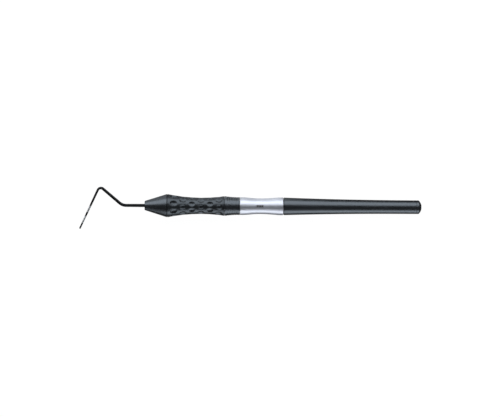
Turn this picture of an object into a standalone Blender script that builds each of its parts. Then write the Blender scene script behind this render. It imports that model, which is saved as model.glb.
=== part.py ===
"""A single-ended periodontal probe, modelled as the pieces that it is assembled from.

A bent, tapered steel working end is held in the nose of a steel spindle. A nose cone, a dimpled grip, a collar
and a steel waist sleeve are stacked on that spindle, and a hollow rear handle is pulled up against them.
X runs along the handle and out of its rear end, which is at x = 0, so each station below is a distance
forward of that end, towards -X. The working end is bent in the XY plane, its elbow towards +Y. Z is up.
"""

import math

import bmesh
import bpy
import numpy as np
from mathutils import Matrix, Vector

MM = 0.001

# Stations of the seams along the handle, and of the face that the working end comes out of.
HANDLE_REAR = 2.1 * MM
HANDLE_FRONT = 60.0 * MM
WAIST_FRONT = 78.9 * MM
COLLAR_FRONT = 85.6 * MM
GRIP_FRONT = 110.4 * MM
NOSE = 120.3 * MM

# Radii of the outside.
NOSE_RADIUS = 2.0 * MM
GRIP_FRONT_RADIUS = 5.04 * MM
GRIP_WAIST_RADIUS = 3.55 * MM
GRIP_REAR_RADIUS = 4.29 * MM
GRIP_WAIST_SHARE = 0.4
STACK_RADIUS = 3.84 * MM
SLEEVE_WAIST_RADIUS = 3.37 * MM
HANDLE_TAIL_RADIUS = 2.95 * MM
HANDLE_FLARE_POWER = 2.35
END_DOME_RADIUS = 4.0 * MM
END_FLAT_RADIUS = 1.0 * MM
SLEEVE_FRONT_LAND = 0.6 * MM
SLEEVE_REAR_LAND = 2.04 * MM
SLEEVE_REAR_POWER = 1.7

# The dimples are cut by balls, in rings whose dimples are staggered. The balls are stretched along the axis,
# and sink deeper where the grip is wider.
DIMPLE_RINGS = 6
DIMPLES_PER_RING = 8
FIRST_RING = 107.6 * MM
RING_PITCH = 3.92 * MM
DIMPLE_BALL_RADIUS = 2.0 * MM
DIMPLE_STRETCH = 1.1
DIMPLE_DEPTH = 0.43 * MM
DIMPLE_DEEPENING = 0.2
DIMPLE_TURN = math.radians(9)
BALL_SEGMENTS = 12
BALL_RINGS = 14

# The working end: three straight limbs that meet in two bends, tapering to the tip.
SHANK_LENGTH = 9.7 * MM
ELBOW_LIMB_LENGTH = 13.0 * MM
TIP_LIMB_LENGTH = 20.5 * MM
ELBOW_LIMB_ANGLE = math.radians(40)
TIP_LIMB_ANGLE = math.radians(65.3)
SHANK_BEND_RADIUS = 4.5 * MM
ELBOW_BEND_RADIUS = 1.45 * MM
TANG_LENGTH = 12.0 * MM
TANG_RADIUS = 0.8 * MM
TANG_STEP = 0.2 * MM
SHANK_RADIUS = 0.69 * MM
ELBOW_REAR_RADIUS = 0.6 * MM
ELBOW_FRONT_RADIUS = 0.48 * MM
TIP_RADIUS = 0.33 * MM
TIP_CAP_ANGLE = math.radians(75)
TIP_CAP_STEPS = 3

# The spindle, and what is on it and behind it.
SPIGOT_RADIUS = 1.6 * MM
SEAT_RADIUS = 2.3 * MM
STUD_RADIUS = 2.0 * MM
STUD_LENGTH = 9.0 * MM
NOSE_WALL = 2.1 * MM
INSERT_RADIUS = 2.7 * MM
INSERT_LENGTH = 9.4 * MM
HANDLE_BORE_RADIUS = 1.9 * MM
PLUG_SPIGOT_LENGTH = 5.0 * MM
PLUG_GROOVE_STATION = 4.2 * MM
PLUG_GROOVE_WIDTH = 0.8 * MM
PLUG_GROOVE_RADIUS = 1.35 * MM

# Rubber rings, as the radius of their section, and the pockets they sit in.
SEAL_SECTION = 0.27 * MM
PLUG_SEAL_SECTION = 0.2 * MM
POCKET_DEPTH = 0.75 * MM
SLEEVE_POCKET_RADIUS = 3.0 * MM
NOSE_POCKET_RADIUS = 2.3 * MM

# Clearances between end faces in the stack, and round pieces that fit in each other.
SEAM = 0.08 * MM
FIT = 0.06 * MM
EDGE = 0.2 * MM

ROUND_STEPS = 36
SEAL_STEPS = 6
BEND_STEPS = 6
FLARE_STEPS = 6
WAIST_STEPS = 12
BEVEL_RESOLUTION = 4
MERGE_DISTANCE = 1e-7


def make_material(name, colour, roughness, metallic=0.0):
    """A plain Principled material."""
    material = bpy.data.materials.new(name)
    material.use_nodes = True
    shader = material.node_tree.nodes["Principled BSDF"]
    shader.inputs["Base Color"].default_value = (*colour, 1.0)
    shader.inputs["Roughness"].default_value = roughness
    shader.inputs["Metallic"].default_value = metallic
    return material


def turned(name, profile, material, collection):
    """A piece turned round the handle's axis, from (station, radius) pairs that run forward on its outside.

    A profile that starts at radius 0 is solid at both ends, and any other one closes on itself as a ring.
    It starts half a facet round, so that a flat facet faces straight down.
    """
    half_facet = math.pi / ROUND_STEPS
    points = [
        (radius * math.cos(half_facet), radius * math.sin(half_facet), -station) for station, radius in profile
    ]
    edges = [(i, i + 1) for i in range(len(points) - 1)]
    if profile[0][1] > 0:
        edges.append((len(points) - 1, 0))
    mesh = bpy.data.meshes.new(name)
    mesh.from_pydata(points, edges, [])
    mesh.materials.append(material)
    piece = bpy.data.objects.new(name, mesh)
    collection.objects.link(piece)
    piece.rotation_euler = (0, math.pi / 2, 0)
    screw = piece.modifiers.new("turn", "SCREW")
    screw.steps = ROUND_STEPS
    screw.render_steps = ROUND_STEPS
    screw.use_merge_vertices = True
    screw.merge_threshold = MERGE_DISTANCE
    screw.use_smooth_shade = True
    return piece


def flare(waist, end, waist_radius, end_radius):
    """(station, radius) pairs along a parabola that leaves its waist parallel to the axis and opens to its end."""
    shares = [i / FLARE_STEPS for i in range(FLARE_STEPS + 1)]
    return [(waist + (end - waist) * s, waist_radius + (end_radius - waist_radius) * s**2) for s in shares]


def grip_outline():
    """The grip's outside before its dimples are cut, rear to front: two flares from its waist."""
    rear = COLLAR_FRONT + SEAM / 2
    front = GRIP_FRONT - SEAM / 2
    waist = rear + GRIP_WAIST_SHARE * (front - rear)
    behind = flare(waist, rear, GRIP_WAIST_RADIUS, GRIP_REAR_RADIUS)
    ahead = flare(waist, front, GRIP_WAIST_RADIUS, GRIP_FRONT_RADIUS)
    return behind[::-1] + ahead[1:]


def grip_radius(station):
    """The outer radius of the grip at a station, between the dimples."""
    stations, radii = zip(*grip_outline())
    return float(np.interp(station, stations, radii))


def grip_slope(station):
    """How fast the grip's radius grows forwards at a station."""
    reach = RING_PITCH / 4
    return (grip_radius(station + reach) - grip_radius(station - reach)) / (2 * reach)


def sleeve_radius(station, rear_land, front_land):
    """The sleeve's waist meets its rear land at a corner, and its front land smoothly."""
    waist = (rear_land + front_land) / 2
    rise = STACK_RADIUS - SLEEVE_WAIST_RADIUS
    share = abs(station - waist) / (front_land - waist)
    if station < waist:
        return SLEEVE_WAIST_RADIUS + rise * share**SLEEVE_REAR_POWER
    return SLEEVE_WAIST_RADIUS + rise * (1 - math.cos(math.pi * share)) / 2


def handle_radius(station):
    """The rear handle is slim and nearly straight, and flares ever faster towards its front."""
    share = station / HANDLE_FRONT
    return HANDLE_TAIL_RADIUS + (STACK_RADIUS - HANDLE_TAIL_RADIUS) * share**HANDLE_FLARE_POWER


def nose_cone(material, collection):
    """The cone that the working end comes out of, bored for the spindle's spigot and a seal behind it."""
    rear = GRIP_FRONT + SEAM / 2
    bore_end = NOSE - NOSE_WALL
    profile = [
        (rear, NOSE_POCKET_RADIUS),
        (rear, GRIP_FRONT_RADIUS - EDGE),
        (rear + EDGE / 2, GRIP_FRONT_RADIUS),
        (rear + 2 * EDGE, GRIP_FRONT_RADIUS - EDGE / 2),
        (NOSE - EDGE, NOSE_RADIUS),
        (NOSE, NOSE_RADIUS - EDGE),
        (NOSE, SHANK_RADIUS + FIT),
        (bore_end, SHANK_RADIUS + FIT),
        (bore_end, SPIGOT_RADIUS + FIT),
        (rear + POCKET_DEPTH, SPIGOT_RADIUS + FIT),
        (rear + POCKET_DEPTH, NOSE_POCKET_RADIUS),
    ]
    return turned("nose_cone", profile, material, collection)


def dimple_balls(collection):
    """One mesh with a ball for each dimple, in staggered rings round the grip."""
    balls = bmesh.new()
    pitch = math.tau / DIMPLES_PER_RING
    stretch = Matrix.Diagonal((DIMPLE_STRETCH, 1, 1, 1))
    for ring in range(DIMPLE_RINGS):
        station = FIRST_RING - ring * RING_PITCH
        stagger = pitch / 2 if ring % 2 == 0 else 0.0
        radius = grip_radius(station)
        tilt = math.atan(grip_slope(station))
        lift = DIMPLE_BALL_RADIUS - DIMPLE_DEPTH - DIMPLE_DEEPENING * (radius - GRIP_WAIST_RADIUS)
        centre = (lift * math.sin(tilt) - station, 0, radius + lift * math.cos(tilt))
        for i in range(DIMPLES_PER_RING):
            turn = Matrix.Rotation(DIMPLE_TURN + stagger + i * pitch, 4, "X")
            place = turn @ Matrix.Translation(centre) @ stretch
            bmesh.ops.create_uvsphere(
                balls,
                u_segments=BALL_SEGMENTS,
                v_segments=BALL_RINGS,
                radius=DIMPLE_BALL_RADIUS,
                matrix=place,
            )
    mesh = bpy.data.meshes.new("dimple_balls")
    balls.to_mesh(mesh)
    balls.free()
    cutter = bpy.data.objects.new("dimple_balls", mesh)
    collection.objects.link(cutter)
    cutter.hide_render = True
    cutter.display_type = "WIRE"
    return cutter


def dimpled_grip(material, collection, cutters):
    """The sleeve that the fingers hold, with its rings of dimples."""
    outline = grip_outline()
    bore = SEAT_RADIUS + FIT
    profile = [(outline[0][0], bore)] + outline + [(outline[-1][0], bore)]
    grip = turned("dimpled_grip", profile, material, collection)
    cut = grip.modifiers.new("dimples", "BOOLEAN")
    cut.operation = "DIFFERENCE"
    cut.solver = "EXACT"
    cut.use_self = True
    cut.object = dimple_balls(cutters)
    return grip


def grip_collar(material, collection):
    """The ring behind the grip, flared to the ridge that the grip butts on."""
    rear = WAIST_FRONT + SEAM / 2
    front = COLLAR_FRONT - SEAM / 2
    bore = SEAT_RADIUS + FIT
    profile = [(rear, bore), (rear, STACK_RADIUS - EDGE / 2)]
    profile += flare(rear + EDGE / 2, front - EDGE, STACK_RADIUS, GRIP_REAR_RADIUS)
    profile += [(front, GRIP_REAR_RADIUS - EDGE / 2), (front, bore)]
    return turned("grip_collar", profile, material, collection)


def waist_sleeve(material, collection):
    """The bright steel sleeve, waisted between two lands, with a seal pocket in each end."""
    rear = HANDLE_FRONT + SEAM / 2
    front = WAIST_FRONT - SEAM / 2
    rear_land = rear + SLEEVE_REAR_LAND
    front_land = front - SLEEVE_FRONT_LAND
    bore = SEAT_RADIUS + FIT
    profile = [
        (rear + POCKET_DEPTH, bore),
        (rear + POCKET_DEPTH, SLEEVE_POCKET_RADIUS),
        (rear, SLEEVE_POCKET_RADIUS),
        (rear, STACK_RADIUS - EDGE),
        (rear + EDGE, STACK_RADIUS),
    ]
    for station in np.linspace(rear_land, front_land, WAIST_STEPS + 1):
        profile.append((station, sleeve_radius(station, rear_land, front_land)))
    profile += [
        (front - EDGE, STACK_RADIUS),
        (front, STACK_RADIUS - EDGE),
        (front, SLEEVE_POCKET_RADIUS),
        (front - POCKET_DEPTH, SLEEVE_POCKET_RADIUS),
        (front - POCKET_DEPTH, bore),
    ]
    return turned("waist_sleeve", profile, material, collection)


def rear_handle(material, collection):
    """The long hollow handle, with a wider pocket in its front for the threaded insert."""
    rear = HANDLE_REAR + SEAM / 2
    front = HANDLE_FRONT - SEAM / 2
    body_rear, body_front = rear + EDGE / 2, front - EDGE
    pocket_end = front - INSERT_LENGTH - 2 * SEAM
    profile = [(rear, HANDLE_BORE_RADIUS), (rear, HANDLE_TAIL_RADIUS - EDGE / 2)]
    for station in np.linspace(body_rear, body_front, 2 * FLARE_STEPS):
        profile.append((station, handle_radius(station)))
    profile += [
        (front, STACK_RADIUS - EDGE),
        (front, INSERT_RADIUS + FIT),
        (pocket_end, INSERT_RADIUS + FIT),
        (pocket_end, HANDLE_BORE_RADIUS),
    ]
    return turned("rear_handle", profile, material, collection)


def dome_station(radius):
    """How far forward of its flat the plug's dome is at a radius."""
    flat = math.sqrt(END_DOME_RADIUS**2 - END_FLAT_RADIUS**2)
    return flat - math.sqrt(END_DOME_RADIUS**2 - radius**2)


def end_plug(material, collection):
    """The domed plug that closes the handle, with a small flat on its dome and a seal groove in its spigot."""
    front = HANDLE_REAR - SEAM / 2
    spigot = HANDLE_BORE_RADIUS - FIT
    spigot_front = front + PLUG_SPIGOT_LENGTH
    groove_front = PLUG_GROOVE_STATION + PLUG_GROOVE_WIDTH
    profile = [(0.0, 0.0)]
    for radius in np.linspace(END_FLAT_RADIUS, HANDLE_TAIL_RADIUS, FLARE_STEPS):
        profile.append((dome_station(radius), radius))
    profile += [
        (front - EDGE / 2, HANDLE_TAIL_RADIUS),
        (front, HANDLE_TAIL_RADIUS - EDGE / 2),
        (front, spigot),
        (PLUG_GROOVE_STATION, spigot),
        (PLUG_GROOVE_STATION, PLUG_GROOVE_RADIUS),
        (groove_front, PLUG_GROOVE_RADIUS),
        (groove_front, spigot),
        (spigot_front - EDGE, spigot),
        (spigot_front, spigot - EDGE),
        (spigot_front, 0.0),
    ]
    return turned("end_plug", profile, material, collection)


def spindle(material, collection):
    """The steel core: rear stud, long seat and front spigot, bored from its nose for the working end's tang."""
    rear = HANDLE_FRONT - STUD_LENGTH
    shoulder = HANDLE_FRONT + SEAM
    seat_front = GRIP_FRONT - SEAM / 2
    front = NOSE - NOSE_WALL - SEAM
    bore = TANG_RADIUS + FIT
    bore_end = front - EDGE - TANG_LENGTH - SEAM
    profile = [
        (rear, 0.0),
        (rear, STUD_RADIUS - EDGE),
        (rear + EDGE, STUD_RADIUS),
        (shoulder, STUD_RADIUS),
        (shoulder, SEAT_RADIUS),
        (seat_front, SEAT_RADIUS),
        (seat_front, SPIGOT_RADIUS),
        (front - EDGE, SPIGOT_RADIUS),
        (front, SPIGOT_RADIUS - EDGE),
        (front, bore),
        (bore_end, bore),
        (bore_end, 0.0),
    ]
    return turned("spindle", profile, material, collection)


def handle_insert(material, collection):
    """The bush in the handle's front that the spindle's stud screws into, with plain walls for its threads."""
    front = HANDLE_FRONT - 2 * SEAM
    rear = front - INSERT_LENGTH
    profile = [
        (rear, STUD_RADIUS + FIT),
        (rear, INSERT_RADIUS),
        (front, INSERT_RADIUS),
        (front, STUD_RADIUS + FIT),
    ]
    return turned("handle_insert", profile, material, collection)


def seal_ring(name, station, inner_radius, section, material, collection):
    """A rubber ring round the axis, whose round section has the radius given."""
    middle = inner_radius + section
    profile = []
    for i in range(SEAL_STEPS):
        turn = math.tau * i / SEAL_STEPS
        profile.append((station + section * math.sin(turn), middle + section * math.cos(turn)))
    return turned(name, profile, material, collection)


def seals(material, collection):
    """The four rings that keep steam and cleaning fluid out of the seams."""
    on_seat = SEAT_RADIUS + FIT
    on_spigot = SPIGOT_RADIUS + FIT
    in_pocket = SEAM / 2 + POCKET_DEPTH / 2
    groove_middle = PLUG_GROOVE_STATION + PLUG_GROOVE_WIDTH / 2
    seal_ring("nose_seal", GRIP_FRONT + in_pocket, on_spigot, SEAL_SECTION, material, collection)
    seal_ring("waist_front_seal", WAIST_FRONT - in_pocket, on_seat, SEAL_SECTION, material, collection)
    seal_ring("waist_rear_seal", HANDLE_FRONT + in_pocket, on_seat, SEAL_SECTION, material, collection)
    in_groove = PLUG_GROOVE_RADIUS + FIT
    seal_ring("plug_seal", groove_middle, in_groove, PLUG_SEAL_SECTION, material, collection)


def bend(before, corner, after, radius):
    """Points along the arc that rounds a corner between two straight runs."""
    way_in = (corner - before).normalized()
    way_out = (after - corner).normalized()
    turn = way_in.angle(way_out)
    inward = (way_out - way_in * way_in.dot(way_out)).normalized()
    start = corner - way_in * radius * math.tan(turn / 2)
    centre = start + inward * radius
    turns = [turn * i / BEND_STEPS for i in range(BEND_STEPS + 1)]
    return [centre + radius * (way_in * math.sin(t) - inward * math.cos(t)) for t in turns]


def working_end_route():
    """(point, radius) pairs along the working end's centre line, from the tang's inner end to the tip."""
    tang_front = Vector((-(NOSE - NOSE_WALL - SEAM - EDGE), 0, 0))
    tang_rear = tang_front + Vector((TANG_LENGTH, 0, 0))
    nose = Vector((-NOSE, 0, 0))
    shank_corner = nose + Vector((-SHANK_LENGTH, 0, 0))
    elbow_way = Vector((-math.cos(ELBOW_LIMB_ANGLE), math.sin(ELBOW_LIMB_ANGLE), 0))
    elbow_corner = shank_corner + elbow_way * ELBOW_LIMB_LENGTH
    tip_way = Vector((-math.cos(TIP_LIMB_ANGLE), -math.sin(TIP_LIMB_ANGLE), 0))
    tip = elbow_corner + tip_way * TIP_LIMB_LENGTH
    cap_centre = tip - tip_way * TIP_RADIUS

    shank_bend = bend(nose, shank_corner, elbow_corner, SHANK_BEND_RADIUS)
    elbow_bend = bend(shank_corner, elbow_corner, tip, ELBOW_BEND_RADIUS)
    centre_line = [tang_front - Vector((TANG_STEP, 0, 0)), nose] + shank_bend + elbow_bend
    elbow_front = len(centre_line) - 1
    elbow_rear = elbow_front - BEND_STEPS
    centre_line.append(cap_centre)
    runs = np.cumsum([0.0] + [(b - a).length for a, b in zip(centre_line, centre_line[1:])])
    marks = [runs[1], runs[elbow_rear], runs[elbow_front], runs[-1]]
    radii = np.interp(runs, marks, [SHANK_RADIUS, ELBOW_REAR_RADIUS, ELBOW_FRONT_RADIUS, TIP_RADIUS])

    route = [(tang_rear, TANG_RADIUS), (tang_front, TANG_RADIUS)]
    route += zip(centre_line, radii)
    for i in range(1, TIP_CAP_STEPS + 1):
        turn = TIP_CAP_ANGLE * i / TIP_CAP_STEPS
        route.append((cap_centre + tip_way * TIP_RADIUS * math.sin(turn), TIP_RADIUS * math.cos(turn)))
    return route


def probe_working_end(material, collection):
    """The tang, shank, elbow and tip, one piece of steel."""
    curve = bpy.data.curves.new("probe_working_end", "CURVE")
    curve.dimensions = "3D"
    curve.bevel_depth = TANG_RADIUS
    curve.bevel_resolution = BEVEL_RESOLUTION
    curve.use_fill_caps = True
    route = working_end_route()
    spline = curve.splines.new("POLY")
    spline.points.add(len(route) - 1)
    for control, (point, radius) in zip(spline.points, route):
        control.co = (*point, 1.0)
        control.radius = radius / TANG_RADIUS
    curve.materials.append(material)
    piece = bpy.data.objects.new("probe_working_end", curve)
    collection.objects.link(piece)
    return piece


def clear_scene():
    for old in list(bpy.data.objects):
        bpy.data.objects.remove(old)


def make_collection(name):
    collection = bpy.data.collections.new(name)
    bpy.context.scene.collection.children.link(collection)
    return collection


def main():
    clear_scene()
    probe = make_collection("periodontal_probe")
    cutters = make_collection("cutters")
    coated_steel = make_material("black_coated_steel", (0.02, 0.02, 0.022), 0.35, 0.6)
    satin_steel = make_material("satin_steel", (0.62, 0.64, 0.66), 0.28, 1.0)
    black_polymer = make_material("black_polymer", (0.03, 0.033, 0.037), 0.42)
    brass = make_material("brass", (0.78, 0.6, 0.3), 0.35, 1.0)
    rubber = make_material("seal_rubber", (0.05, 0.05, 0.05), 0.8)

    probe_working_end(coated_steel, probe)
    nose_cone(black_polymer, probe)
    dimpled_grip(black_polymer, probe, cutters)
    grip_collar(black_polymer, probe)
    waist_sleeve(satin_steel, probe)
    rear_handle(black_polymer, probe)
    end_plug(black_polymer, probe)
    spindle(satin_steel, probe)
    handle_insert(brass, probe)
    seals(rubber, probe)


main()
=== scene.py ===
"""The looks of a single-ended periodontal probe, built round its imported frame.

Every piece that shows is rebuilt here as a fine mesh in the place that its CAD node holds. A station is a
distance forward of the instrument's rear end, along its axis, so it is -x in the frame. The working end is
bent in the XY plane and the camera looks straight down on it.
"""

import math

import bmesh
import bpy
import numpy as np
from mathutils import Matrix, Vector

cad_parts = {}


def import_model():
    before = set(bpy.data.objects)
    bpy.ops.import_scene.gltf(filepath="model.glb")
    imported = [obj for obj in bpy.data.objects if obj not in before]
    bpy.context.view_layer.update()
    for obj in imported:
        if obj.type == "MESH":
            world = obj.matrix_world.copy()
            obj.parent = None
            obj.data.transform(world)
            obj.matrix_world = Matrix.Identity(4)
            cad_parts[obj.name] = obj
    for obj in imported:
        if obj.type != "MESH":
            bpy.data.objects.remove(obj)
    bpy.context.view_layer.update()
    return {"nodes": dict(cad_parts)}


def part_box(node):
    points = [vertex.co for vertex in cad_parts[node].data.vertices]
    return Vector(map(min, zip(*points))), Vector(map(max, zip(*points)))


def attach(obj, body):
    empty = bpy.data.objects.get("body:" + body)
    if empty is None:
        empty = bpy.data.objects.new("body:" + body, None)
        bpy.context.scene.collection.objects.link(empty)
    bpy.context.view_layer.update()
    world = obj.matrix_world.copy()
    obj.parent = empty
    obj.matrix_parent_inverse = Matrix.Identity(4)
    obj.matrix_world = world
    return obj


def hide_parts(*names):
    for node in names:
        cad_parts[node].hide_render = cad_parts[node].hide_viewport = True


MM = 0.001
BODY = "root"

# Mesh fineness.
TURN_STEPS = 160
FILLET_STEPS = 5
TUBE_SIDES = 32
BEND_STEPS = 24
MERGE_DISTANCE = 1e-7
SMOOTH_ANGLE = math.radians(32)

# Curvatures per millimetre at which an edge starts to wear, and is fully worn.
WEAR_STARTS = 1.0
WEAR_ENDS = 6.0

# Fillets at the mouths of the seams and the bores, and the seams' width.
SEAM_FILLET = 0.06 * MM
BORE_FILLET = 0.05 * MM
SEAM = 0.08 * MM

# The grip: the radius of its waist, where that is, the chamfers at its ends, and the balls that cut its
# staggered dimples. They are stretched along the axis, and sink deeper where the grip is wider.
GRIP_WAIST_RADIUS = 3.55 * MM
GRIP_WAIST_SHARE = 0.4
GRIP_ROWS = 250
GRIP_COLUMNS = 288
GRIP_FRONT_CHAMFER = 0.06 * MM
GRIP_REAR_CHAMFER = 0.2 * MM
DIMPLE_RINGS = 6
DIMPLES_PER_RING = 8
FIRST_RING_OFFSET = 2.8 * MM
RING_PITCH = 3.92 * MM
DIMPLE_BALL_RADIUS = 2.0 * MM
DIMPLE_STRETCH = 1.1
DIMPLE_DEPTH = 0.43 * MM
DIMPLE_DEEPENING = 0.2
DIMPLE_TURN = math.radians(9)
DIMPLE_EDGE = 0.07 * MM

# The rest of the outside, from the nose to the rear end.
NOSE_RADIUS = 2.0 * MM
NOSE_CHAMFER = 0.24 * MM
NOSE_FILLET = 0.18 * MM
NOSE_SINK_WIDTH = 0.2 * MM
NOSE_SINK_DEPTH = 0.12 * MM
GRIP_FRONT_RADIUS = 5.04 * MM
GRIP_REAR_RADIUS = 4.29 * MM
STACK_RADIUS = 3.84 * MM
COLLAR_REAR_LAND = 0.2 * MM
COLLAR_REAR_STEP = 0.05 * MM
COLLAR_GROOVES = 5
COLLAR_GROOVE_PITCH = 1.0 * MM
COLLAR_GROOVE_WIDTH = 0.5 * MM
COLLAR_GROOVE_DEPTH = 0.11 * MM
SLEEVE_WAIST_RADIUS = 3.37 * MM
SLEEVE_FRONT_LAND = 0.6 * MM
SLEEVE_REAR_LAND = 2.04 * MM
SLEEVE_REAR_POWER = 1.7
SLEEVE_CHAMFER = 0.13 * MM
SLEEVE_FILLET = 0.04 * MM
SLEEVE_ROWS = 64
HANDLE_TAIL_RADIUS = 2.95 * MM
HANDLE_FLARE_POWER = 2.35
HANDLE_CHAMFER = 0.3 * MM
HANDLE_FILLET = 0.08 * MM
HANDLE_REAR_MARGIN = 0.4 * MM
HANDLE_FRONT_MARGIN = 0.45 * MM
HANDLE_ROWS = 72
END_DOME_RADIUS = 4.0 * MM
END_FLAT_RADIUS = 1.0 * MM
END_DOME_FILLET = 0.16 * MM
END_DOME_MARGIN = 0.25 * MM
END_DOME_ROWS = 28

# Bores, as in the CAD nodes that these pieces replace.
SEAT_BORE = 2.36 * MM
SPIGOT_BORE = 1.66 * MM
SHANK_BORE = 0.75 * MM
NOSE_WALL = 2.1 * MM
NOSE_POCKET_RADIUS = 2.3 * MM
SLEEVE_POCKET_RADIUS = 3.0 * MM
POCKET_DEPTH = 0.75 * MM
HANDLE_BORE = 1.9 * MM
INSERT_POCKET_RADIUS = 2.76 * MM
INSERT_POCKET_DEPTH = 9.56 * MM
PLUG_SPIGOT_RADIUS = 1.84 * MM
PLUG_SPIGOT_FILLET = 0.15 * MM
PLUG_GROOVE_STATION = 4.2 * MM
PLUG_GROOVE_WIDTH = 0.8 * MM
PLUG_GROOVE_RADIUS = 1.35 * MM

# The working end's centre line, its radii and its scale, whose marks are distances from the tip. Its outline
# stops a hair short of the tip's very end, so that the last ring has a width.
SHANK_LENGTH = 9.7 * MM
ELBOW_LIMB_LENGTH = 13.0 * MM
TIP_LIMB_LENGTH = 20.5 * MM
ELBOW_LIMB_ANGLE = math.radians(40)
TIP_LIMB_ANGLE = math.radians(65.3)
SHANK_BEND_RADIUS = 4.5 * MM
ELBOW_BEND_RADIUS = 1.45 * MM
TANG_LENGTH = 12.0 * MM
TANG_RADIUS = 0.8 * MM
TANG_STEP = 0.2 * MM
TANG_CLEARANCE = 0.08 * MM
SHANK_RADIUS = 0.69 * MM
ELBOW_REAR_RADIUS = 0.6 * MM
ELBOW_FRONT_RADIUS = 0.48 * MM
TIP_RADIUS = 0.33 * MM
TIP_END = TIP_RADIUS * 0.002
TIP_END_TURNS = range(10, 90, 10)
SCALE_MARKS = (3 * MM, 6 * MM, 8 * MM, 11 * MM)
COATING = 0.02 * MM
ROUTE_STEP = 0.25 * MM
ROUTE_STRETCH = 0.02 * MM

# The mark on the sleeve. Its bars are shares of its length and height, and it is mostly sunk in the steel.
MARK_LENGTH = 3.0 * MM
MARK_HEIGHT = 0.95 * MM
MARK_LINE = 0.13 * MM
MARK_BARS = ((0.09, 0.3), (0.38, 0.6), (0.68, 0.91))
MARK_BAR_HEIGHT = 0.55
MARK_STEPS = 6
MARK_SINK = 0.01 * MM
MARK_LIFT = 0.004 * MM

# The camera looks straight down, from far enough away for a long lens.
LENS = 150.0
SENSOR = 36.0
VIEW_WIDTH = 217.5 * MM
VIEW_CENTRE = Vector((-74.5 * MM, -1.02 * MM, 0.0))
VIEW_TURN = math.radians(0.36)
VIEW_NEAREST = 0.01
VIEW_FARTHEST = 10.0

# The two black polymers: their grain's lumps per millimetre and its depth, their least roughness and their
# specular level. The tint is their reflections' colour. Worn edges are polished.
BLACK_POLYMER = (7.0, 0.0015 * MM, 0.3, 1.0)
BLACK_GRIP_POLYMER = (4.5, 0.003 * MM, 0.32, 0.72)
POLYMER_TINT = (0.88, 0.94, 1.0, 1.0)
POLYMER_IOR = 1.56
POLYMER_UNEVENNESS = 0.06
POLYMER_LINE_DEPTH = 0.0012 * MM
WEAR_POLISH = 0.08

# The sleeve's steel: its streaks' two colours, least and most roughness, and depth.
STEEL_DARK = (0.56, 0.55, 0.58, 1.0)
STEEL_LIGHT = (0.65, 0.64, 0.67, 1.0)
STEEL_ROUGHNESS = (0.43, 0.49)
STEEL_STREAK_DEPTH = 0.0016 * MM

# The table, the wall round it and the world's light.
FLOOR_SIZE = 4.0
FLOOR_GLOW = 0.985
FLOOR_GREY = (0.05, 0.05, 0.05, 1.0)
FLOOR_ROUGHNESS = 0.9
WHITE = (1.0, 1.0, 1.0, 1.0)
WALL_RADIUS = 1.9
WALL_HEIGHT = 3.0
WALL_SIDES = 128
WORLD_COLOUR = (0.95, 0.95, 0.97)
WORLD_GLOW = 0.062

# Soft lights beside the instrument: the two angles in degrees from straight up, towards +Y, that each one
# spans, its length, its radiance, its shift along X and its distance from the axis. The shift starts from the
# middle of the view, or of the sleeve for the sleeve's own card.
UPPER_SOFTBOX = (23, 80, 2.4, 2.2, 0.0, 0.6)
UPPER_CARD = (84, 140, 0.62, 0.6, -0.31, 0.6)
LOWER_SOFTBOX = (-60.5, -101, 1.2, 2.3, 0.25, 0.6)
CONE_CARD = (20, 80, 0.4, 0.25, -0.46, 0.55)
SLEEVE_CARD = (84, 150, 0.02, 1.3, 0.0, 0.1)
LIGHT_COLOUR = (0.89, 0.97, 1.05)


# ---------------------------------------------------------------- mesh tools


def bend(before, corner, after, radius, steps):
    """Points along the arc that rounds a corner between two straight runs."""
    way_in = (corner - before).normalized()
    way_out = (after - corner).normalized()
    turn = way_in.angle(way_out)
    inward = (way_out - way_in * way_in.dot(way_out)).normalized()
    start = corner - way_in * radius * math.tan(turn / 2)
    turns = [turn * i / steps for i in range(steps + 1)]
    return [start + radius * (way_in * math.sin(t) + inward * (1 - math.cos(t))) for t in turns]


def rounded(corners):
    """(station, radius) points of an outline whose corners are (station, radius, fillet radius)."""
    points = [Vector(corner[:2]) for corner in corners]
    made = []
    for i, point in enumerate(points):
        fillet = corners[i][2]
        if fillet == 0:
            made.append(point)
        else:
            made += bend(points[i - 1], point, points[(i + 1) % len(points)], fillet, FILLET_STEPS)
    return made


def object_from(name, vertices, faces):
    """A smooth-shaded mesh object with its normals out and each point's edge_wear worked out."""
    mesh = bpy.data.meshes.new(name)
    mesh.from_pydata(vertices, [], faces)
    work = bmesh.new()
    work.from_mesh(mesh)
    bmesh.ops.remove_doubles(work, verts=work.verts, dist=MERGE_DISTANCE)
    bmesh.ops.recalc_face_normals(work, faces=work.faces)
    wear = [edge_wear(vertex) for vertex in work.verts]
    work.to_mesh(mesh)
    work.free()
    mesh.attributes.new("edge_wear", "FLOAT", "POINT").data.foreach_set("value", wear)
    mesh.shade_smooth()
    mesh.set_sharp_from_angle(angle=SMOOTH_ANGLE)
    piece = bpy.data.objects.new(name, mesh)
    bpy.context.scene.collection.objects.link(piece)
    return piece


def edge_wear(vertex):
    """How worn the surface is at a vertex: 0 on open surface and in hollows, up to 1 on a sharp edge."""
    curvature = 0.0
    for edge in vertex.link_edges:
        if len(edge.link_faces) == 2:
            across = sum(face.calc_area() for face in edge.link_faces) / edge.calc_length() / 2
            curvature = max(curvature, edge.calc_face_angle_signed() / max(across, MERGE_DISTANCE))
    return min(1.0, max(0.0, (curvature * MM - WEAR_STARTS) / (WEAR_ENDS - WEAR_STARTS)))


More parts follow.
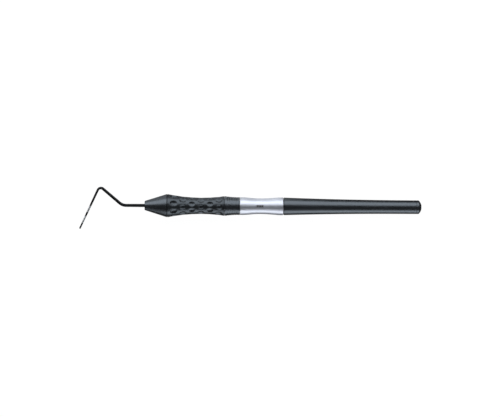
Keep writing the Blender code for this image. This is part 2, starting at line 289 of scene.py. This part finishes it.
def turned(name, outline, steps=TURN_STEPS):
    """A piece turned round the axis from (station, radius) points. One that starts on the axis is solid."""
    count = len(outline)
    stations = np.array([point[0] for point in outline])
    radii = np.array([point[1] for point in outline])
    turns = np.arange(steps) * math.tau / steps
    x = np.tile(-stations, steps)
    y = np.outer(np.sin(turns), radii).ravel()
    z = np.outer(np.cos(turns), radii).ravel()
    vertices = np.column_stack((x, y, z)).tolist()
    last = count if radii[0] > 0 else count - 1
    faces = []
    for s in range(steps):
        here, there = s * count, (s + 1) % steps * count
        for i in range(last):
            j = (i + 1) % count
            faces.append((here + i, here + j, there + j, there + i))
    return object_from(name, vertices, faces)


def swept(name, rings, sides=TUBE_SIDES):
    """A closed tube through rings of (centre, direction, radius), all in the XY plane."""
    vertices = []
    for centre, direction, radius in rings:
        across = Vector((-direction.y, direction.x, 0))
        for i in range(sides):
            turn = math.tau * i / sides
            vertices.append(centre + radius * (across * math.cos(turn) + Vector((0, 0, 1)) * math.sin(turn)))
    faces = [tuple(range(sides)), tuple(range(len(vertices) - sides, len(vertices)))]
    for ring in range(len(rings) - 1):
        for i in range(sides):
            j = (i + 1) % sides
            base = ring * sides
            faces.append((base + i, base + j, base + sides + j, base + sides + i))
    return object_from(name, vertices, faces)


# ---------------------------------------------------------------- materials


class Finish:
    """A Principled material whose patterns are added node by node."""

    def __init__(self, name, **values):
        self.material = bpy.data.materials.new(name)
        self.material.use_nodes = True
        self.tree = self.material.node_tree
        self.shader = self.tree.nodes["Principled BSDF"]
        for socket, value in values.items():
            self.shader.inputs[socket.replace("_", " ")].default_value = value

    def add(self, kind, inputs=(), **settings):
        """A new node. Its inputs are (socket, value or another node's output) pairs."""
        node = self.tree.nodes.new(kind)
        for setting, value in settings.items():
            setattr(node, setting, value)
        for socket, value in inputs:
            if isinstance(value, bpy.types.NodeSocket):
                self.tree.links.new(value, node.inputs[socket])
            else:
                node.inputs[socket].default_value = value
        return node

    def place(self, scale):
        """The place on the instrument in millimetres, stretched by a scale along each axis."""
        position = self.add("ShaderNodeTexCoord").outputs["Object"]
        per_mm = tuple(s / MM for s in scale)
        return self.add("ShaderNodeMapping", [("Vector", position), ("Scale", per_mm)]).outputs["Vector"]

    def noise(self, scale, detail=3.0, roughness=0.5):
        """Noise from 0 to 1, whose scale is its lumps per millimetre along X, Y and Z."""
        inputs = [("Vector", self.place(scale)), ("Scale", 1.0), ("Detail", detail), ("Roughness", roughness)]
        return self.add("ShaderNodeTexNoise", inputs).outputs["Fac"]

    def spread(self, factor, low, high, from_low=0.3, from_high=0.7):
        """A factor's usual range mapped to another range."""
        inputs = [
            ("Value", factor),
            ("From Min", from_low),
            ("From Max", from_high),
            ("To Min", low),
            ("To Max", high),
        ]
        return self.add("ShaderNodeMapRange", inputs).outputs["Result"]

    def total(self, first, second, operation="ADD"):
        """Two factors added, or put through another operation."""
        return self.add("ShaderNodeMath", [(0, first), (1, second)], operation=operation).outputs["Value"]

    def blend(self, factor, first, second):
        """A colour between two colours."""
        inputs = [(0, factor), (6, first), (7, second)]
        return self.add("ShaderNodeMix", inputs, data_type="RGBA").outputs[2]

    def wear(self):
        """The mesh's edge_wear."""
        return self.add("ShaderNodeAttribute", attribute_name="edge_wear").outputs["Fac"]

    def bump(self, height, depth, base=None):
        """A bump whose height factor stands for a depth in metres."""
        inputs = [("Height", height), ("Distance", depth), ("Strength", 1.0)]
        if base is not None:
            inputs.append(("Normal", base))
        return self.add("ShaderNodeBump", inputs).outputs["Normal"]

    def use(self, socket, output):
        """Lets a pattern drive one of the shader's sockets."""
        self.tree.links.new(output, self.shader.inputs[socket])


def grey(value, blue=1.0):
    """A grey linear colour, the cooler the more its blue share is over 1."""
    return (value / blue, value, value * blue, 1.0)


def black_polymer(name, grain_scale, grain_depth, smoothest, specular):
    """Satin black polymer: fine grain, faint turning lines, slightly polished and paler where edges wear."""
    finish = Finish(name, IOR=POLYMER_IOR, Specular_IOR_Level=specular, Specular_Tint=POLYMER_TINT)
    cloud = finish.noise((0.35, 0.5, 0.5), detail=4.0)
    grain = finish.noise((grain_scale,) * 3, detail=2.0)
    lines = finish.noise((9.0, 0.25, 0.25), detail=2.0)
    wear = finish.wear()
    colour = finish.blend(finish.spread(cloud, 0.0, 1.0), grey(0.003, 1.05), grey(0.005, 1.06))
    finish.use("Base Color", finish.blend(wear, colour, grey(0.012, 1.05)))
    uneven = finish.spread(cloud, smoothest, smoothest + POLYMER_UNEVENNESS)
    rough = finish.total(uneven, finish.spread(grain, -0.02, 0.03))
    finish.use("Roughness", finish.total(rough, finish.total(wear, WEAR_POLISH, "MULTIPLY"), "SUBTRACT"))
    grained = finish.bump(grain, grain_depth)
    finish.use("Normal", finish.bump(lines, POLYMER_LINE_DEPTH, grained))
    return finish.material


def satin_steel(name):
    """Stainless steel, brushed round the axis, with faint streaks and brighter edges."""
    finish = Finish(name, Metallic=1.0)
    streaks = finish.noise((14.0, 0.3, 0.3), detail=4.0, roughness=0.6)
    cloud = finish.noise((0.25, 0.4, 0.4), detail=3.0)
    wear = finish.wear()
    steel = finish.blend(finish.spread(streaks, 0.0, 1.0), STEEL_DARK, STEEL_LIGHT)
    finish.use("Base Color", finish.blend(wear, steel, grey(0.75)))
    rough = finish.total(finish.spread(streaks, *STEEL_ROUGHNESS), finish.spread(cloud, -0.02, 0.02))
    finish.use("Roughness", rough)
    finish.use("Normal", finish.bump(streaks, STEEL_STREAK_DEPTH))
    return finish.material


def bare_steel(name):
    """The polished steel that shows between the coated bands of the scale."""
    finish = Finish(name, Metallic=1.0)
    streaks = finish.noise((6.0, 6.0, 6.0), detail=3.0)
    finish.use("Base Color", finish.blend(streaks, grey(0.46), grey(0.6)))
    finish.use("Roughness", finish.spread(streaks, 0.34, 0.44))
    return finish.material


def coated_steel(name):
    """The hard black coating of the working end, a little uneven in gloss."""
    finish = Finish(name, Specular_IOR_Level=0.2)
    cloud = finish.noise((1.2, 1.2, 1.2), detail=4.0)
    grain = finish.noise((12.0, 12.0, 12.0), detail=2.0)
    finish.use("Base Color", finish.blend(cloud, grey(0.002, 1.05), grey(0.004, 1.05)))
    finish.use("Roughness", finish.spread(cloud, 0.3, 0.4))
    finish.use("Normal", finish.bump(grain, 0.001 * MM))
    return finish.material


def brass(name):
    """Turned brass."""
    finish = Finish(name, Metallic=1.0)
    rings = finish.noise((10.0, 0.4, 0.4), detail=3.0)
    finish.use("Base Color", finish.blend(rings, (0.62, 0.43, 0.17, 1.0), (0.78, 0.58, 0.27, 1.0)))
    finish.use("Roughness", finish.spread(rings, 0.25, 0.38))
    return finish.material


def seal_rubber(name):
    """Black moulded rubber."""
    finish = Finish(name)
    grain = finish.noise((8.0, 8.0, 8.0))
    finish.use("Base Color", finish.blend(grain, grey(0.015), grey(0.03)))
    finish.use("Roughness", finish.spread(grain, 0.65, 0.85))
    finish.use("Normal", finish.bump(grain, 0.002 * MM))
    return finish.material


def laser_mark(name):
    """The brown-black oxide of a laser mark on steel."""
    finish = Finish(name, Metallic=0.2)
    grain = finish.noise((20.0, 20.0, 20.0), detail=2.0)
    finish.use("Base Color", finish.blend(grain, (0.016, 0.012, 0.011, 1.0), (0.035, 0.026, 0.023, 1.0)))
    finish.use("Roughness", finish.spread(grain, 0.5, 0.65))
    return finish.material


# ---------------------------------------------------------------- places, from the frame


def rear_of(node):
    """The station of a node's rear face."""
    return -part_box(node)[1].x


def front_of(node):
    """The station of a node's front face."""
    return -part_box(node)[0].x


def finished(piece, material, node):
    """Gives a piece its material and its place in the assembly."""
    piece.data.materials.clear()
    piece.data.materials.append(material)
    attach(piece, BODY)
    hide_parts(node)


# ---------------------------------------------------------------- turned pieces


def nose_cone():
    """The hollow cone at the front, countersunk round the working end and chamfered at its seam."""
    rear, front = rear_of("nose_cone"), front_of("nose_cone")
    bore_end = front - NOSE_WALL
    corners = [
        (rear, NOSE_POCKET_RADIUS, BORE_FILLET),
        (rear, GRIP_FRONT_RADIUS - NOSE_CHAMFER, 0),
        (rear + NOSE_CHAMFER, GRIP_FRONT_RADIUS, 0),
        (front, NOSE_RADIUS, NOSE_FILLET),
        (front, SHANK_RADIUS + NOSE_SINK_WIDTH, 0),
        (front - NOSE_SINK_DEPTH, SHANK_BORE, 0),
        (bore_end, SHANK_BORE, 0),
        (bore_end, SPIGOT_BORE, 0),
        (rear + POCKET_DEPTH, SPIGOT_BORE, 0),
        (rear + POCKET_DEPTH, NOSE_POCKET_RADIUS, 0),
    ]
    return turned("nose_cone_shell", rounded(corners))


def collar_radius(station, rear, front):
    """The collar's radius between its grooves: it flares ever faster towards the grip."""
    share = (station - rear) / (front - rear)
    return STACK_RADIUS + (GRIP_REAR_RADIUS - STACK_RADIUS) * share**2


def grip_collar():
    """The flared ring behind the grip, with fine grooves cut round it."""
    rear, front = rear_of("grip_collar"), front_of("grip_collar")
    land = rear + COLLAR_REAR_LAND
    corners = [
        (rear, SEAT_BORE, 0),
        (rear, STACK_RADIUS - COLLAR_REAR_STEP, SEAM_FILLET),
        (land, collar_radius(land, rear, front), 0),
    ]
    middle = (rear + front) / 2
    grooves = [middle + (i - (COLLAR_GROOVES - 1) / 2) * COLLAR_GROOVE_PITCH for i in range(COLLAR_GROOVES)]
    half = COLLAR_GROOVE_WIDTH / 2
    for groove in grooves:
        for station, depth in ((groove - half, 0), (groove, COLLAR_GROOVE_DEPTH), (groove + half, 0)):
            corners.append((station, collar_radius(station, rear, front) - depth, 0))
        between = groove + COLLAR_GROOVE_PITCH / 2
        corners.append((between, collar_radius(between, rear, front), 0))
    corners += [(front, GRIP_REAR_RADIUS, SEAM_FILLET), (front, SEAT_BORE, 0)]
    return turned("grip_collar_ring", rounded(corners))


def sleeve_radius(station, rear, front):
    """The sleeve's radius: its waist meets the rear land at a corner, and the front land smoothly."""
    low, high = rear + SLEEVE_REAR_LAND, front - SLEEVE_FRONT_LAND
    waist = (low + high) / 2
    rise = STACK_RADIUS - SLEEVE_WAIST_RADIUS
    share = min(abs(station - waist) / (high - waist), 1.0)
    if station < waist:
        return SLEEVE_WAIST_RADIUS + rise * share**SLEEVE_REAR_POWER
    return SLEEVE_WAIST_RADIUS + rise * (1 - math.cos(math.pi * share)) / 2


def waist_sleeve():
    """The steel sleeve, chamfered at both ends and waisted between them."""
    rear, front = rear_of("waist_sleeve"), front_of("waist_sleeve")
    corners = [
        (rear + POCKET_DEPTH, SEAT_BORE, 0),
        (rear + POCKET_DEPTH, SLEEVE_POCKET_RADIUS, 0),
        (rear, SLEEVE_POCKET_RADIUS, BORE_FILLET),
        (rear, STACK_RADIUS - SLEEVE_CHAMFER, SLEEVE_FILLET),
        (rear + SLEEVE_CHAMFER, STACK_RADIUS, SLEEVE_FILLET),
    ]
    for station in np.linspace(rear + SLEEVE_REAR_LAND, front - SLEEVE_FRONT_LAND, SLEEVE_ROWS):
        corners.append((station, sleeve_radius(station, rear, front), 0))
    corners += [
        (front - SLEEVE_CHAMFER, STACK_RADIUS, SLEEVE_FILLET),
        (front, STACK_RADIUS - SLEEVE_CHAMFER, SLEEVE_FILLET),
        (front, SLEEVE_POCKET_RADIUS, BORE_FILLET),
        (front - POCKET_DEPTH, SLEEVE_POCKET_RADIUS, 0),
        (front - POCKET_DEPTH, SEAT_BORE, 0),
    ]
    return turned("waist_sleeve_steel", rounded(corners))


def handle_radius(station, front):
    """The handle's radius, whose flare starts at the instrument's rear end."""
    return HANDLE_TAIL_RADIUS + (STACK_RADIUS - HANDLE_TAIL_RADIUS) * (station / front) ** HANDLE_FLARE_POWER


def rear_handle():
    """The long hollow handle, slim at the rear and flaring ever faster towards its front."""
    rear, front = rear_of("rear_handle"), front_of("rear_handle")
    pocket_end = front - INSERT_POCKET_DEPTH
    corners = [(rear, HANDLE_BORE, 0), (rear, HANDLE_TAIL_RADIUS, SEAM_FILLET)]
    for station in np.linspace(rear + HANDLE_REAR_MARGIN, front - HANDLE_FRONT_MARGIN, HANDLE_ROWS):
        corners.append((station, handle_radius(station, front), 0))
    chamfer = front - HANDLE_CHAMFER
    corners += [
        (chamfer, handle_radius(chamfer, front), HANDLE_FILLET),
        (front, STACK_RADIUS - HANDLE_CHAMFER, HANDLE_FILLET),
        (front, INSERT_POCKET_RADIUS, BORE_FILLET),
        (pocket_end, INSERT_POCKET_RADIUS, 0),
        (pocket_end, HANDLE_BORE, 0),
    ]
    return turned("rear_handle_tube", rounded(corners))


def dome_station(radius):
    """The station at which the rear dome has a radius; its flat is at 0."""
    flat = math.sqrt(END_DOME_RADIUS**2 - END_FLAT_RADIUS**2)
    return flat - math.sqrt(END_DOME_RADIUS**2 - radius**2)


def end_plug():
    """The domed plug in the rear of the handle."""
    rear, front = rear_of("end_plug"), rear_of("rear_handle") - SEAM
    spigot_front = front_of("end_plug")
    groove_front = PLUG_GROOVE_STATION + PLUG_GROOVE_WIDTH
    corners = [(rear, 0.0, 0)]
    for radius in np.linspace(END_FLAT_RADIUS, HANDLE_TAIL_RADIUS - END_DOME_MARGIN, END_DOME_ROWS):
        corners.append((dome_station(radius), radius, 0))
    corners += [
        (dome_station(HANDLE_TAIL_RADIUS), HANDLE_TAIL_RADIUS, END_DOME_FILLET),
        (front, HANDLE_TAIL_RADIUS, SEAM_FILLET),
        (front, PLUG_SPIGOT_RADIUS, 0),
        (PLUG_GROOVE_STATION, PLUG_SPIGOT_RADIUS, 0),
        (PLUG_GROOVE_STATION, PLUG_GROOVE_RADIUS, 0),
        (groove_front, PLUG_GROOVE_RADIUS, 0),
        (groove_front, PLUG_SPIGOT_RADIUS, 0),
        (spigot_front, PLUG_SPIGOT_RADIUS, PLUG_SPIGOT_FILLET),
        (spigot_front, 0.0, 0),
    ]
    return turned("end_plug_dome", rounded(corners))


# ---------------------------------------------------------------- the grip


def smooth_least(first, second, edge):
    """The lower of two heights, with the crease between them rounded over about an edge's width."""
    share = np.clip(0.5 + 0.5 * (second - first) / edge, 0, 1)
    return second + (first - second) * share - edge * share * (1 - share)


def grip_profile(stations, rear, front):
    """The grip's radius between its dimples, and its slope: two flares from its waist."""
    waist = rear + GRIP_WAIST_SHARE * (front - rear)
    ahead = stations > waist
    rise = np.where(ahead, GRIP_FRONT_RADIUS, GRIP_REAR_RADIUS) - GRIP_WAIST_RADIUS
    run = np.where(ahead, front - waist, rear - waist)
    share = (stations - waist) / run
    return GRIP_WAIST_RADIUS + rise * share**2, 2 * rise * share / run


def dimpled(heights, stations, turns, rear, front):
    """The grip's heights, by station and turn, with every dimple's ball taken out."""
    pitch = math.tau / DIMPLES_PER_RING
    for ring in range(DIMPLE_RINGS):
        station = front - FIRST_RING_OFFSET - ring * RING_PITCH
        stagger = pitch / 2 if ring % 2 == 0 else 0.0
        radius, slope = (float(value) for value in grip_profile(np.array(station), rear, front))
        lift = DIMPLE_BALL_RADIUS - DIMPLE_DEPTH - DIMPLE_DEEPENING * (radius - GRIP_WAIST_RADIUS)
        centre = radius + lift * math.cos(math.atan(slope))
        station -= lift * math.sin(math.atan(slope))
        for i in range(DIMPLES_PER_RING):
            across = turns - (DIMPLE_TURN + stagger + i * pitch)
            nearest = centre * np.cos(across)[None, :]
            along = ((stations - station) / DIMPLE_STRETCH)[:, None]
            inside = DIMPLE_BALL_RADIUS**2 - along**2 - centre**2 + nearest**2
            ball = np.where((inside > 0) & (nearest > 0), nearest - np.sqrt(np.maximum(inside, 0)), 1.0)
            heights = smooth_least(heights, ball, DIMPLE_EDGE)
    return heights


def dimpled_grip():
    """The grip's skin as heights round its axis, closed by its end faces and its bore."""
    rear, front = rear_of("dimpled_grip"), front_of("dimpled_grip")
    steady = np.linspace(rear + GRIP_REAR_CHAMFER, front - GRIP_FRONT_CHAMFER, GRIP_ROWS)
    stations = np.concatenate(([rear], steady, [front]))
    rear_drop = np.maximum(GRIP_REAR_CHAMFER - (stations - rear), 0)
    front_drop = np.maximum(GRIP_FRONT_CHAMFER - (front - stations), 0)
    profile = grip_profile(stations, rear, front)[0] - (rear_drop + front_drop)
    turns = np.arange(GRIP_COLUMNS) * math.tau / GRIP_COLUMNS
    heights = dimpled(np.repeat(profile[:, None], GRIP_COLUMNS, axis=1), stations, turns, rear, front)
    x = np.repeat(-stations, GRIP_COLUMNS)
    y = (-heights * np.sin(turns)).ravel()
    z = (heights * np.cos(turns)).ravel()
    vertices = np.column_stack((x, y, z)).tolist()
    for station in (front, rear):
        for turn in turns:
            vertices.append((-station, -SEAT_BORE * math.sin(turn), SEAT_BORE * math.cos(turn)))
    faces = []
    rings = len(stations) + 2
    for row in range(rings):
        for column in range(GRIP_COLUMNS):
            beside = (column + 1) % GRIP_COLUMNS
            here, there = row * GRIP_COLUMNS, (row + 1) % rings * GRIP_COLUMNS
            faces.append((here + column, here + beside, there + beside, there + column))
    return object_from("dimpled_grip_skin", vertices, faces)


# ---------------------------------------------------------------- the working end


class Route:
    """The working end's centre line, from inside the nose to the tip, looked up by distance from the tip."""

    def __init__(self, nose):
        start = Vector((-nose + NOSE_WALL / 2, 0, 0))
        shank_corner = Vector((-nose - SHANK_LENGTH, 0, 0))
        elbow_way = Vector((-math.cos(ELBOW_LIMB_ANGLE), math.sin(ELBOW_LIMB_ANGLE), 0))
        elbow_corner = shank_corner + elbow_way * ELBOW_LIMB_LENGTH
        tip_way = Vector((-math.cos(TIP_LIMB_ANGLE), -math.sin(TIP_LIMB_ANGLE), 0))
        tip = elbow_corner + tip_way * TIP_LIMB_LENGTH
        shank_bend = bend(start, shank_corner, elbow_corner, SHANK_BEND_RADIUS, BEND_STEPS)
        elbow_bend = bend(shank_corner, elbow_corner, tip, ELBOW_BEND_RADIUS, BEND_STEPS)
        points = [start] + shank_bend + elbow_bend + [tip]
        self.points = np.array(points)
        runs = np.concatenate(([0], np.cumsum(np.linalg.norm(np.diff(self.points, axis=0), axis=1))))
        self.length = runs[-1]
        self.nose = self.length - NOSE_WALL / 2
        self.to_tip = self.length - runs
        self.elbow_front = self.to_tip[len(points) - 2]
        self.elbow_rear = self.to_tip[len(points) - 2 - BEND_STEPS]

    def point(self, to_tip):
        """The place at a distance from the tip."""
        reverse = self.to_tip[::-1]
        return Vector([float(np.interp(to_tip, reverse, self.points[::-1, axis])) for axis in range(3)])

    def direction(self, to_tip):
        """The way towards the tip, averaged over a short stretch."""
        ahead, behind = max(to_tip - ROUTE_STRETCH, 0), min(to_tip + ROUTE_STRETCH, self.length)
        return (self.point(ahead) - self.point(behind)).normalized()

    def radius(self, to_tip):
        """The steel's radius, with a round end at the tip."""
        marks = [TIP_RADIUS, self.elbow_front, self.elbow_rear, self.nose]
        radii = [TIP_RADIUS, ELBOW_FRONT_RADIUS, ELBOW_REAR_RADIUS, SHANK_RADIUS]
        taper = float(np.interp(to_tip, marks, radii))
        if to_tip >= TIP_RADIUS:
            return taper
        return math.sqrt(max(TIP_RADIUS**2 - (TIP_RADIUS - to_tip) ** 2, 0))

    def stops(self, far, near):
        """Distances to the tip from far to near, closer together in the bends and on the round end."""
        reached = [d for d in self.to_tip if near < d < far]
        steady = np.arange(near + ROUTE_STEP, far, ROUTE_STEP).tolist()
        cap = [TIP_RADIUS * (1 - math.cos(math.radians(t))) for t in TIP_END_TURNS]
        reached += [d for d in steady if all(abs(d - other) > ROUTE_STEP / 3 for other in reached)]
        reached += [d for d in cap if near < d < far]
        return sorted(set([far, near] + reached), reverse=True)

    def ring(self, to_tip, thickness=0.0):
        """A ring for swept(), as wide as the steel and a thickness on it."""
        return (self.point(to_tip), self.direction(to_tip), self.radius(to_tip) + thickness)


def working_end_steel(route, nose):
    """The bare steel, whole, with its tang in the nose."""
    tang_front = nose - NOSE_WALL - TANG_STEP - TANG_CLEARANCE
    forward = Vector((-1, 0, 0))
    rings = [
        (Vector((-(tang_front - TANG_LENGTH), 0, 0)), forward, TANG_RADIUS),
        (Vector((-tang_front, 0, 0)), forward, TANG_RADIUS),
        (Vector((-tang_front - TANG_STEP, 0, 0)), forward, SHANK_RADIUS),
    ]
    rings += [route.ring(d) for d in route.stops(route.length, TIP_END)]
    return swept("working_end_steel", rings)


def coating(name, route, far, near):
    """One length of the black coating, between two distances from the tip, with chamfered ends."""
    rings = [route.ring(far, -COATING), route.ring(far, 0.0)]
    rings += [route.ring(d, COATING) for d in route.stops(far - COATING, max(near + COATING, TIP_END))]
    if near > 0:
        rings += [route.ring(near, 0.0), route.ring(near, -COATING)]
    return swept(name, rings)


# ---------------------------------------------------------------- the mark on the sleeve


def depth_pictogram():
    """A small generic mark on top of the sleeve's waist: three bars in a frame, for the banded scale."""
    rear, front = rear_of("waist_sleeve"), front_of("waist_sleeve")
    middle = (rear + SLEEVE_REAR_LAND + front - SLEEVE_FRONT_LAND) / 2
    start = middle - MARK_LENGTH / 2
    end = middle + MARK_LENGTH / 2
    across = MARK_HEIGHT / SLEEVE_WAIST_RADIUS / 2
    line = MARK_LINE / SLEEVE_WAIST_RADIUS
    patches = [
        (start, end, -across, line - across),
        (start, end, across - line, across),
        (start, start + MARK_LINE, line - across, across - line),
        (end - MARK_LINE, end, line - across, across - line),
    ]
    bar = across * MARK_BAR_HEIGHT
    for low, high in MARK_BARS:
        patches.append((start + low * MARK_LENGTH, start + high * MARK_LENGTH, -bar, bar))
    vertices, faces = [], []
    for patch in patches:
        lay_patch(vertices, faces, patch, rear, front)
    return object_from("depth_pictogram", vertices, faces)


def lay_patch(vertices, faces, patch, rear, front):
    """Adds a thin closed patch that follows the sleeve, from (start, end, low turn, high turn)."""
    start, end, low, high = patch
    side = MARK_STEPS + 1
    base = len(vertices)
    for height in (-MARK_SINK, MARK_LIFT):
        for station in np.linspace(start, end, side):
            radius = sleeve_radius(station, rear, front) + height
            for turn in np.linspace(low, high, side):
                vertices.append((-station, -radius * math.sin(turn), radius * math.cos(turn)))

    def at(layer, i, j):
        """The index of a patch's point."""
        return base + layer * side * side + i * side + j

    last = MARK_STEPS
    for i in range(last):
        for j in range(last):
            for layer in (0, 1):
                near = (at(layer, i, j), at(layer, i + 1, j))
                far = (at(layer, i + 1, j + 1), at(layer, i, j + 1))
                faces.append(near + far)
        for j in (0, last):
            faces.append((at(0, i, j), at(0, i + 1, j), at(1, i + 1, j), at(1, i, j)))
            faces.append((at(0, j, i), at(0, j, i + 1), at(1, j, i + 1), at(1, j, i)))


# ---------------------------------------------------------------- stage


def softbox(name, middle, start, end, length, radiance, shift, distance):
    """A long soft light beside the instrument, between two angles from straight up, that aims at its axis."""
    start, end = math.radians(start), math.radians(end)
    data = bpy.data.lights.new(name, "AREA")
    data.shape = "RECTANGLE"
    data.size = length
    data.size_y = 2 * distance * math.tan(abs(end - start) / 2)
    data.energy = radiance * math.pi * data.size * data.size_y
    data.color = LIGHT_COLOUR
    light = bpy.data.objects.new(name, data)
    bpy.context.scene.collection.objects.link(light)
    angle = (start + end) / 2
    way = Vector((0, math.sin(angle), math.cos(angle)))
    light.location = Vector((middle + shift, 0, 0)) + way * distance
    light.rotation_euler = (-angle, 0, 0)
    light.visible_camera = False


def make_floor():
    """A white table that touches the grip's front ridge and the rear end, and a white wall round it."""
    ridge = Vector((-rear_of("nose_cone"), 0, -GRIP_FRONT_RADIUS))
    tail = Vector((-rear_of("rear_handle"), 0, -HANDLE_TAIL_RADIUS))
    slope = (tail - ridge).normalized()
    bpy.ops.mesh.primitive_plane_add(size=FLOOR_SIZE, location=(ridge + tail) / 2)
    floor = bpy.context.object
    floor.name = "floor"
    floor.rotation_euler = (0, -math.asin(slope.z), 0)
    finish = Finish("floor_white", Specular_IOR_Level=0.0, Emission_Strength=FLOOR_GLOW)
    finish.shader.inputs["Roughness"].default_value = FLOOR_ROUGHNESS
    finish.shader.inputs["Base Color"].default_value = FLOOR_GREY
    finish.shader.inputs["Emission Color"].default_value = WHITE
    bpy.ops.mesh.primitive_cylinder_add(
        vertices=WALL_SIDES, radius=WALL_RADIUS, depth=WALL_HEIGHT, end_fill_type="NOTHING"
    )
    wall = bpy.context.object
    wall.name = "wall"
    wall.visible_diffuse = False
    for stage in (floor, wall):
        stage.data.materials.append(finish.material)
        stage.visible_glossy = False
        stage.visible_shadow = False


def make_world():
    """A faint even light from all round."""
    world = bpy.data.worlds.new("studio")
    world.use_nodes = True
    background = world.node_tree.nodes["Background"]
    background.inputs["Color"].default_value = (*WORLD_COLOUR, 1.0)
    background.inputs["Strength"].default_value = WORLD_GLOW
    bpy.context.scene.world = world


def make_camera():
    """The photo's camera, straight above and turned a little about its own axis."""
    data = bpy.data.cameras.new("camera")
    data.lens = LENS
    data.sensor_width = SENSOR
    camera = bpy.data.objects.new("camera", data)
    bpy.context.scene.collection.objects.link(camera)
    distance = VIEW_WIDTH * LENS / SENSOR
    camera.location = VIEW_CENTRE + Vector((0, 0, distance))
    camera.rotation_euler = (0, 0, VIEW_TURN)
    data.clip_start = VIEW_NEAREST
    data.clip_end = VIEW_FARTHEST
    bpy.context.scene.camera = camera


# ---------------------------------------------------------------- all of it


def main():
    """Loads the frame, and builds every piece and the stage."""
    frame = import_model()
    bpy.context.scene.view_settings.view_transform = "Standard"

    polymer = black_polymer("black_polymer", *BLACK_POLYMER)
    grip_polymer = black_polymer("black_grip_polymer", *BLACK_GRIP_POLYMER)
    steel = satin_steel("satin_steel")
    coat = coated_steel("black_coated_steel")

    finished(nose_cone(), polymer, "nose_cone")
    finished(dimpled_grip(), grip_polymer, "dimpled_grip")
    finished(grip_collar(), polymer, "grip_collar")
    finished(waist_sleeve(), steel, "waist_sleeve")
    finished(depth_pictogram(), laser_mark("laser_mark"), "waist_sleeve")
    finished(rear_handle(), polymer, "rear_handle")
    finished(end_plug(), polymer, "end_plug")

    nose = front_of("nose_cone")
    route = Route(nose)
    finished(working_end_steel(route, nose), bare_steel("bare_steel"), "probe_working_end")
    tip_end, lower, middle_end, upper = SCALE_MARKS
    coated = (
        ("tip_coating", tip_end, 0),
        ("middle_band_coating", middle_end, lower),
        ("shank_coating", route.length, upper),
    )
    for name, far, near in coated:
        finished(coating(name, route, far, near), coat, "probe_working_end")

    carried = {"spindle": steel, "handle_insert": brass("turned_brass")}
    rubber = seal_rubber("seal_rubber")
    for node in ("nose_seal", "waist_front_seal", "waist_rear_seal", "plug_seal"):
        carried[node] = rubber
    for node, material in carried.items():
        mesh = frame["nodes"][node].data
        mesh.materials.clear()
        mesh.materials.append(material)

    make_world()
    softbox("upper_softbox", VIEW_CENTRE.x, *UPPER_SOFTBOX)
    softbox("upper_card", VIEW_CENTRE.x, *UPPER_CARD)
    softbox("lower_softbox", VIEW_CENTRE.x, *LOWER_SOFTBOX)
    softbox("cone_card", VIEW_CENTRE.x, *CONE_CARD)
    softbox("sleeve_card", -(rear_of("waist_sleeve") + front_of("waist_sleeve")) / 2, *SLEEVE_CARD)
    make_floor()
    make_camera()


main()
